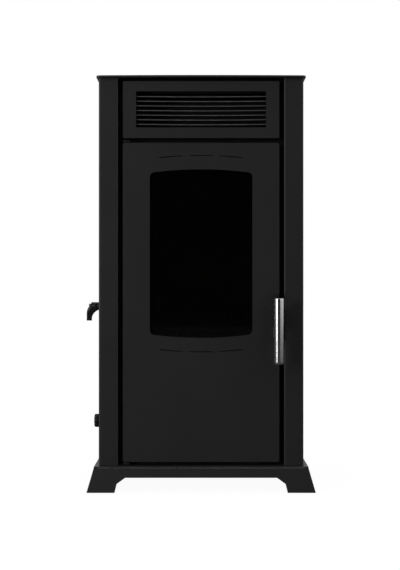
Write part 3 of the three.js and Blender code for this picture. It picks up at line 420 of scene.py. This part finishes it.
def settle(obj):
    """Applies every modifier."""
    graph = bpy.context.evaluated_depsgraph_get()
    mesh = bpy.data.meshes.new_from_object(obj.evaluated_get(graph), depsgraph=graph)
    old = obj.data
    obj.modifiers.clear()
    obj.data = mesh
    mesh.name = obj.name
    bpy.data.meshes.remove(old)


def keep_flat(mesh, least_area=0.001):
    """Shades each broad flat face with its own direction, and returns the points on such faces."""

    def direction(face):
        return tuple(round(part, 3) for part in face.normal)

    area = {}
    for face in mesh.polygons:
        area[direction(face)] = area.get(direction(face), 0) + face.area
    meets = {}
    for face in mesh.polygons:
        if area[direction(face)] > least_area:
            for index in face.vertices:
                meets.setdefault(index, set()).add(direction(face))
    normals = [Vector(corner.vector) for corner in mesh.corner_normals]
    for face in mesh.polygons:
        broad = area[direction(face)] > least_area
        for corner in face.loop_indices:
            touched = meets.get(mesh.loops[corner].vertex_index, ())
            if broad:
                normals[corner] = face.normal.copy()
            elif len(touched) == 1:
                normals[corner] = Vector(next(iter(touched)))
    mesh.normals_split_custom_set(normals)
    return meets


def mark_edges(mesh, narrow, flat):
    """Writes the edge attribute: 1 at points that touch only narrow faces and no broad flat one."""
    wide = [index in flat for index in range(len(mesh.vertices))]
    for face in mesh.polygons:
        corners = [mesh.vertices[i].co for i in face.vertices]
        round_trip = sum((a - b).length for a, b in zip(corners, corners[1:] + corners[:1]))
        if 2 * face.area / max(round_trip, 1e-9) > narrow:
            for index in face.vertices:
                wide[index] = True
    layer = mesh.attributes.new("edge", "FLOAT", "POINT")
    layer.data.foreach_set("value", [0.0 if w else 1.0 for w in wide])


def transformed(bm, matrix):
    bmesh.ops.transform(bm, matrix=matrix, verts=bm.verts)
    return bm


def ring(bm, radius, height, around):
    """Points round the Z axis, in millimetres. The radius is a number, or a function of the angle."""
    points = []
    for i in range(around):
        angle = math.tau * i / around
        r = radius(angle) if callable(radius) else radius
        points.append(bm.verts.new((r * MM * math.cos(angle), r * MM * math.sin(angle), height * MM)))
    return points


def turned(profile, around=64, centre=(0, 0, 0)):
    """A turned solid: profile is (radius, height) in millimetres, and starts and ends on the axis."""
    bm = bmesh.new()
    rings = [ring(bm, radius, height, around if radius else 1) for radius, height in profile]
    bridge(bm, rings)
    return transformed(bm, Matrix.Translation(centre))


def bridge(bm, rings, closed=False):
    """Joins each ring of points to the next with quads, or with triangles at a single point."""
    pairs = list(zip(rings, rings[1:]))
    if closed:
        pairs.append((rings[-1], rings[0]))
    for first, second in pairs:
        count = max(len(first), len(second))
        for i in range(count):
            j = (i + 1) % count
            corners = [first[i % len(first)], first[j % len(first)]]
            corners += [second[j % len(second)], second[i % len(second)]]
            face = list(dict.fromkeys(corners))
            if len(face) > 2:
                bm.faces.new(face)


def merged(parts):
    """Several bmeshes as one."""
    whole = bmesh.new()
    for part in parts:
        mesh = bpy.data.meshes.new("part")
        part.to_mesh(mesh)
        part.free()
        whole.from_mesh(mesh)
        bpy.data.meshes.remove(mesh)
    return whole


def screw(place, axis, head_mm, rise_mm=2.2):
    """A pan head screw with a six-sided socket, its head standing out along the axis."""
    bm = bmesh.new()
    around = 24
    sixth = math.pi / 3

    def socket(angle):
        return head_mm * 0.44 * math.cos(sixth / 2) / math.cos(angle % sixth - sixth / 2)

    profile = [(head_mm, 0), (head_mm, rise_mm * 0.45), (head_mm * 0.8, rise_mm * 0.9)]
    profile += [(head_mm * 0.5, rise_mm), (socket, rise_mm), (socket, rise_mm * 0.35)]
    rings = [ring(bm, radius, height, around) for radius, height in profile]
    bridge(bm, rings)
    bm.faces.new(rings[0][::-1])
    bm.faces.new(rings[-1])
    stand = Vector(axis).to_track_quat("Z", "Y").to_matrix().to_4x4()
    return transformed(bm, Matrix.Translation(place) @ stand)


def screws(name, places, body, finish="inner_black_paint", head_mm=4.2):
    """Screws facing the back of the stove, as one piece."""
    heads = [screw(place, (0, 1, 0), head_mm) for place in places]
    return new_piece(name, merged(heads), finish, body, smooth=40)


# ---------------------------------------------------------------- casing


def upright(middle, edge, least=0.02):
    """Picks the edges that climb more than least metres."""
    return abs(edge.verts[0].co.z - edge.verts[1].co.z) > least


def casing():
    rounded("plinth_skirt", 0.5, upright, 1.4)
    # The plinth wears the darker copy: painted shade.
    show(bpy.data.objects["plinth_skirt_finished"], "plinth_paint_shaded")
    rounded("base_plate", 0.9)
    rounded("left_side_panel", 0.5)
    rounded("right_side_panel", 0.5)
    rounded("rear_panel", 0.4)
    rounded("top_plate", 1.5, segments=4)
    low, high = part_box("top_front_panel")
    rounded("top_front_panel", 0.4, outer_front_edge(low, high), 2.4)
    for node in NODES:
        if node.startswith("outlet_slat"):
            rounded(node, 0.55, segments=3)
            # The slats wear the copy with painted shade on their faces and a painted highlight on their
            # edges.
            show(bpy.data.objects[node + "_finished"], "outlet_slat_paint_shaded_highlit")
    rounded("outlet_cheek_left", 0.3)
    rounded("outlet_cheek_right", 0.3)
    rounded("front_frame", 0.4)
    rounded("rear_heat_shield", 0.3)
    flue_collar()
    rear_panel_screws()


def rear_panel_screws(a_side=5, inset=0.012, margin=0.03, clear_of_fold=0.999):
    """A column of screws down each side of the rear panel."""
    low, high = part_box("rear_panel")
    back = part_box("right_side_panel")[1].y
    places = []
    for x in (low.x + inset, high.x - inset):
        for i in range(a_side):
            z = low.z + margin + (high.z - low.z - 2 * margin) * i / (a_side - 1)
            places.append((x * clear_of_fold, back, z))
    screws("rear_panel_screws", places, body_of_node("rear_panel"))


def outer_front_edge(low, high, reach=0.0047):
    """Picks the edges that run round the front face of a folded tray."""

    def picks(middle, edge):
        if abs(middle.y - low.y) > 1e-5:
            return False
        beside = min(middle.x - low.x, high.x - middle.x) < reach
        return beside or min(middle.z - low.z, high.z - middle.z) < reach

    return picks


def flue_collar():
    """The rear flue spigot: flange, raised bead and a rolled end."""
    low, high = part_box("flue_collar")
    start = low.y / MM
    end = high.y / MM
    flange = (high.x - low.x) / 2 / MM
    rim = 10
    wall = 3
    outer = flange - rim
    inner = outer - wall
    profile = [(inner, start), (flange - 1, start), (flange, start + 1), (flange, start + 3)]
    profile += [(flange - 1, start + 4), (outer + 0.6, start + 4), (outer, start + 4.6)]
    bead = end - 16
    bead_steps = 8
    for i in range(bead_steps + 1):
        angle = math.pi * i / bead_steps
        profile.append((outer + 1.6 * math.sin(angle), bead - 3.2 * math.cos(angle)))
    profile += [(outer, end - 1.5), (outer - 0.5, end - 0.4), (outer - 1.5, end)]
    profile += [(inner + 0.6, end - 0.4), (inner, end - 1.4)]
    bm = bmesh.new()
    rings = []
    around = 96
    for radius, height in profile:
        r = radius * MM
        turns = [math.tau * i / around for i in range(around)]
        rings.append([bm.verts.new((r * math.cos(a), height * MM, r * math.sin(a))) for a in turns])
    bridge(bm, rings, closed=True)
    transformed(bm, Matrix.Translation((0, 0, (low.z + high.z) / 2)))
    body = body_of_node("flue_collar")
    new_piece("flue_collar_finished", bm, "satin_black_paint", body, "flue_collar", smooth=35)


# ---------------------------------------------------------------- fire side


def fire_side():
    for node in ("firebox_shell", "smoke_hood", "ash_chamber", "air_duct", "air_register"):
        rounded(node, 0.5)
    for node in ("lining_board_left", "lining_board_right", "lining_board_rear"):
        rounded(node, 2.0, segments=3)
    for node in ("hearth_board", "baffle_board"):
        rounded(node, 2.0, segments=3)
    rounded("fire_grate", 1.6, segments=3)
    rounded("log_guard", 1.2, segments=3)
    for node in ("drawer_runner_left", "drawer_runner_right", "ash_pan", "ash_pan_pull"):
        rounded(node, 0.5)


# ---------------------------------------------------------------- door


def rope_ring(node, name, radius_mm, lay_mm=7.0):
    """A three-strand rope laid round a rounded rectangle."""
    low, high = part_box(node)
    r = radius_mm * MM
    y = (low.y + high.y) / 2
    corner = 0.014
    loop = []
    x0, x1, z0, z1 = low.x + r, high.x - r, low.z + r, high.z - r
    for cx, cz, start in ((x1, z1, 0), (x0, z1, 90), (x0, z0, 180), (x1, z0, 270)):
        for step in range(7):
            angle = math.radians(start + 15 * step)
            sx = cx - math.copysign(corner, cx)
            sz = cz - corner if start < 180 else cz + corner
            loop.append(Vector((sx + corner * math.cos(angle), y, sz + corner * math.sin(angle))))
    path = []
    for a, b in zip(loop, loop[1:] + loop[:1]):
        count = max(1, round((b - a).length / (lay_mm * MM / 4)))
        path += [a.lerp(b, i / count) for i in range(count)]
    around = 9
    bm = bmesh.new()
    rings = []
    travelled = 0.0
    total = sum((b - a).length for a, b in zip(path, path[1:] + path[:1]))
    turns = round(total / (lay_mm * MM) / 3)
    half_depth = (high.y - low.y) / 2
    for i, point in enumerate(path):
        after = path[(i + 1) % len(path)]
        along = (after - path[i - 1]).normalized()
        side = Vector((0, 1, 0))
        up = along.cross(side)
        twist = math.tau * turns * travelled / total
        ring = []
        for k in range(around):
            angle = math.tau * k / around
            swell = 0.9 + 0.1 * math.cos(3 * (angle - twist))
            u = half_depth * swell * math.cos(angle)
            v = r * swell * math.sin(angle)
            ring.append(bm.verts.new(point + side * u + up * v))
        rings.append(ring)
        travelled += (after - point).length
    bridge(bm, rings, closed=True)
    return new_piece(name, bm, "rope_seal", body_of_node(node), node, smooth=80)


def door():
    low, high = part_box("door_skin")
    rounded("door_skin", 0.45, outer_front_edge(low, high), 2.6)
    rounded("door_inner_frame", 0.4)
    rounded("door_glass", 0.5)
    rounded("glass_tape", 0.5)
    for node in ("glass_retainer_lower", "glass_retainer_upper", "hinge_bush_lower", "hinge_bush_upper"):
        rounded(node, 0.35)
    hinge_and_latch = ["hinge_plate_lower", "hinge_plate_upper", "latch_keeper", "latch_hook"]
    hinge_and_latch += ["handle_pivot_pin", "pivot_lug_lower", "pivot_lug_upper"]
    for node in hinge_and_latch:
        rounded(node, 0.6)
    rope_ring("door_rope_seal", "door_rope_seal_braided", 4.4)
    places = []
    for node in ("glass_retainer_lower", "glass_retainer_upper"):
        low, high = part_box(node)
        for share in (0.08, 0.36, 0.64, 0.92):
            places.append((low.x + (high.x - low.x) * share, high.y, (low.z + high.z) / 2))
    screws("glass_retainer_screws", places, "door", "plain_steel", 3.2)


# ---------------------------------------------------------------- handle


def handle():
    low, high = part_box("handle_bar")
    radius = (high.x - low.x) / 2 / MM
    length = (high.z - low.z) / MM
    soft = 1.0
    profile = [(0, 0), (radius - 3, 0)]
    for i in range(5):
        angle = math.pi / 2 * i / 4
        profile.append((radius - soft + soft * math.sin(angle), soft - soft * math.cos(angle)))
    profile += [(radius, 6), (radius, length / 2), (radius, length - 6)]
    for i in range(5):
        angle = math.pi / 2 * i / 4
        profile.append((radius - soft + soft * math.cos(angle), length - soft + soft * math.sin(angle)))
    profile += [(radius - 3, length), (0, length)]
    middle = (low + high) / 2
    bar = turned(profile, 96, (middle.x, middle.y, low.z))
    new_piece("handle_bar_polished", bar, "polished_steel", "door_handle", "handle_bar", smooth=35)
    rounded("handle_arm", 1.0, segments=3)


# ---------------------------------------------------------------- air controls


def bend(top, first, second, third, end, steps=12, last_step=0.94):
    """Points down one edge of the grip: straight, then curved through the middle, then straight."""
    points = [top]
    for i in range(steps + 1):
        t = i / steps
        weights = ((1 - t) ** 2, 2 * t * (1 - t), t * t)
        points.append(
            tuple(a * weights[0] + b * weights[1] + c * weights[2] for a, b, c in zip(first, second, third))
        )
    points += [tuple(a + (b - a) * last_step for a, b in zip(third, end)), end]
    return points


def grip_section():
    """Section of the grip, grooved along both faces: share of its width, and share of its half depth."""
    front = [(0.0, 0.7), (0.03, 0.9), (0.1, 1.0), (0.4, 1.0), (0.45, 0.82)]
    front += [(0.55, 0.82), (0.6, 1.0), (0.9, 1.0), (0.97, 0.9), (1.0, 0.7)]
    return front + [(share, -depth) for share, depth in reversed(front)]


def upper_lever():
    """Moulded lever: a hub, and a cap behind it that sweeps out into a hanging grip."""
    low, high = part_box("air_lever")
    wall = high.x
    y = (low.y + high.y) / 2
    half_depth = (high.y - low.y) / 2
    hub_radius = 10.0
    hub_reach = 27.7
    hub_z = high.z - hub_radius * MM
    profile = [(0, 0), (hub_radius - 0.6, 0), (hub_radius, 0.6), (hub_radius, hub_reach - 1.5)]
    profile += [(hub_radius - 0.5, hub_reach - 0.5), (hub_radius - 1.5, hub_reach), (0, hub_reach)]
    hub = turned(profile, 48)
    transformed(hub, Matrix.Translation((wall, y, hub_z)) @ TO_THE_LEFT)

    # Both edges of the grip: distance out from the casing, and height over the middle of the hub
    cap = 33
    cap_top = 6
    thick = 12
    reach = (wall - low.x) / MM
    near = reach - thick
    tip = (low.z - hub_z) / MM
    outer = bend((cap, cap_top), (cap, -1), (reach, -8), (reach, -18), (reach, tip))
    inner = bend((hub_radius, cap_top), (hub_radius, -9), (near, -18), (near, tip + 5), (near, tip))
    bm = bmesh.new()
    rings = []
    for (u0, v0), (u1, v1) in zip(outer, inner):
        points = []
        for share, depth in grip_section():
            out = u0 + (u1 - u0) * share
            up = v0 + (v1 - v0) * share
            points.append(bm.verts.new((wall - out * MM, y + depth * half_depth, hub_z + up * MM)))
        rings.append(points)
    bridge(bm, rings)
    bm.faces.new(rings[0])
    bm.faces.new(rings[-1][::-1])
    lever = merged([hub, bm])
    new_piece("air_lever_moulded", lever, "black_plastic", "upper_air_control", "air_lever", smooth=40)
    rounded("lever_shaft", 0.4)
    rounded("air_flap", 0.4)


def lower_knob():
    """Star knob: a neck and a lobed grip with soft edges and a shallow dished face."""
    low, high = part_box("air_knob")
    lobes = 8
    lobe_depth = 1.5
    outer = (high.z - low.z) / 2 / MM
    reach = (high.x - low.x) / MM

    def lobed(radius, share):
        return lambda angle: radius - lobe_depth * share * (1 - math.cos(lobes * angle))

    # Radius, height along the axis, and how deep the lobes are there
    rows = [(8.4, 0, 0), (9, 0.6, 0), (9, 6.3, 0), (outer - 3, 6.9, 0.6), (outer - 1.0, 7.5, 0.9)]
    rows += [(outer, 8.8, 1), (outer, reach - 3.2, 1), (outer - 0.7, reach - 1.4, 1)]
    rows += [(outer - 2.2, reach - 0.3, 0.9), (outer - 4, reach, 0.6)]
    rows += [(outer - 6, reach - 0.5, 0.2), (outer - 8.5, reach - 1.2, 0)]
    bm = bmesh.new()
    rings = [ring(bm, 0, 0, 1)]
    rings += [ring(bm, lobed(radius, share), height, lobes * 16) for radius, height, share in rows]
    rings.append(ring(bm, 0, reach - 1.5, 1))
    bridge(bm, rings)
    middle = (low + high) / 2
    transformed(bm, Matrix.Translation((high.x, middle.y, middle.z)) @ TO_THE_LEFT)
    new_piece("air_knob_moulded", bm, "black_plastic", "lower_air_control", "air_knob", smooth=40)
    rounded("air_disc", 0.4)
    rounded("knob_spindle", 0.4)


casing()
fire_side()
door()
handle()
upper_lever()
lower_knob()


# ---------------------------------------------------------------- studio

FLOOR_GAP = 0.0005
ROOM_LEVEL = 0.8
OVERHEAD_LOSS = 0.45
CAMERA_DISTANCE = 3.0
CAMERA_SIDE = -0.00265
EYE_HEIGHT = 0.4954


def floor():
    """A pale studio floor that runs on into the white surround. It gives back little light of its own."""
    bm = bmesh.new()
    bmesh.ops.create_grid(bm, x_segments=1, y_segments=1, size=12.0)
    mesh = bpy.data.meshes.new("floor")
    bm.to_mesh(mesh)
    bm.free()
    obj = bpy.data.objects.new("floor", mesh)
    obj.location.z = -FLOOR_GAP
    bpy.context.scene.collection.objects.link(obj)
    paint = Paint("floor_white")
    mottle = paint.noise(400)
    seen = paint.node("ShaderNodeLightPath", {}, {}, "Is Camera Ray")
    paint.finish(
        {
            "Base Color": paint.mix(mottle, grey(0.11), grey(0.13)),
            "Roughness": 0.9,
            "Specular IOR Level": 0.0,
            "Emission Color": paint.mix(seen, grey(0.0), grey(0.95)),
            "Emission Strength": 1.0,
        }
    )
    mesh.materials.append(paint.material)


def soft_light(name, place, aim, size, power):
    light = bpy.data.lights.new(name, "AREA")
    light.shape = "RECTANGLE"
    light.size, light.size_y = size
    light.energy = power
    obj = bpy.data.objects.new(name, light)
    obj.location = place
    obj.rotation_euler = (Vector(aim) - Vector(place)).to_track_quat("-Z", "Y").to_euler()
    bpy.context.scene.collection.objects.link(obj)


def surround():
    """A pale room, dimmer overhead and dark behind the camera. Seen directly it is plain white."""
    world = bpy.data.worlds.new("surround")
    world.use_nodes = True
    room = Nodes(world.node_tree)
    toward = room.node("ShaderNodeTexCoord", {}, {}, "Generated")
    forward = room.node("ShaderNodeSeparateXYZ", {}, {"Vector": toward}, "Y")
    upward = room.node("ShaderNodeSeparateXYZ", {}, {"Vector": toward}, "Z")
    gap = (forward * -1).above(0.8, 0.14)
    overhead = upward.above(0.25, 0.5)
    seen = room.node("ShaderNodeLightPath", {}, {}, "Is Camera Ray")
    level = ROOM_LEVEL * (1 - gap) * (1 - overhead * OVERHEAD_LOSS) * (1 - seen) + seen
    back = world.node_tree.nodes["Background"]
    back.inputs["Color"].default_value = grey(1.0)
    world.node_tree.links.new(level.socket, back.inputs["Strength"])
    bpy.context.scene.world = world


def camera():
    data = bpy.data.cameras.new("camera")
    data.sensor_width = 36
    data.lens = 78.6
    obj = bpy.data.objects.new("camera", data)
    obj.location = (CAMERA_SIDE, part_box("door_skin")[0].y - CAMERA_DISTANCE, EYE_HEIGHT)
    obj.rotation_euler = (math.pi / 2, 0, 0)
    data.clip_start = 0.1
    data.clip_end = 50
    bpy.context.scene.collection.objects.link(obj)
    bpy.context.scene.camera = obj


floor()
surround()
soft_light("left_softbox", (-2.2, -2.2, 0.9), (0, -0.2, 0.5), (0.8, 1.6), 20)
camera()
bpy.context.scene.view_settings.view_transform = "Standard"
